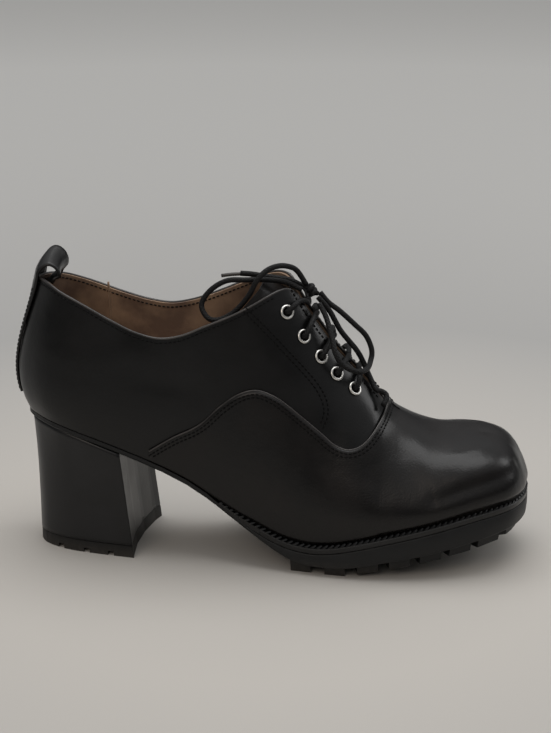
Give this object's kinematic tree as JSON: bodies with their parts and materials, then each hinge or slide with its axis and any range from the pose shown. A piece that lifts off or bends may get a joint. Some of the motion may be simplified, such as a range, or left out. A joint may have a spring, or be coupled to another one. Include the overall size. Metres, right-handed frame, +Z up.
{
  "type": "heeled oxford shoe",
  "caption": "Black lace-up shoe with a square toe, a block heel, a lugged rubber sole and a pull loop; right foot.",
  "frame": {"origin": "under the middle of the shoe's bounding box, on the plane that the heel and forefoot stand on", "axes": "+X towards the toe, -Y towards the outer (lateral) side, +Z up"},
  "size_m": [0.2499, 0.0891, 0.1471],
  "materials": {
    "quarter_leather": "smooth semi-gloss black",
    "vamp_leather": "smooth semi-gloss black with a brown sheen",
    "tongue_leather": "soft black",
    "backstay_leather": "smooth black",
    "sole_rubber": "satin black",
    "welt_rubber": "ribbed satin black",
    "heel_cover": "satin black",
    "top_piece_rubber": "matt black, grooved",
    "brown_lining": "worn brown lining leather",
    "eyelet_nickel": "polished nickel",
    "lace_cotton": "round waxed cotton, black"
  },
  "bodies": {
    "root": {"upper": "quarter_leather", "vamp": "vamp_leather", "tongue": "tongue_leather", "backstay": "backstay_leather", "outsole": "sole_rubber", "welt": "welt_rubber", "heel": "heel_cover", "heel_top_piece": "top_piece_rubber", "insole": "brown_lining", "eyelet_outer_1": "eyelet_nickel", "eyelet_outer_2": "eyelet_nickel", "eyelet_outer_3": "eyelet_nickel", "eyelet_outer_4": "eyelet_nickel", "eyelet_outer_5": "eyelet_nickel", "eyelet_inner_1": "eyelet_nickel", "eyelet_inner_2": "eyelet_nickel", "eyelet_inner_3": "eyelet_nickel", "eyelet_inner_4": "eyelet_nickel", "eyelet_inner_5": "eyelet_nickel", "lace_cross_2": "lace_cotton", "lace_cross_3": "lace_cotton", "lace_cross_4": "lace_cotton", "lace_top_bar": "lace_cotton", "lace_low_bar": "lace_cotton", "lace_knot": "lace_cotton", "lace_loop_back": "lace_cotton", "lace_loop_front": "lace_cotton", "lace_end_back": "lace_cotton", "lace_end_front": "lace_cotton", "lace_tip_back": "lace_cotton"}
  },
  "joints": []
}
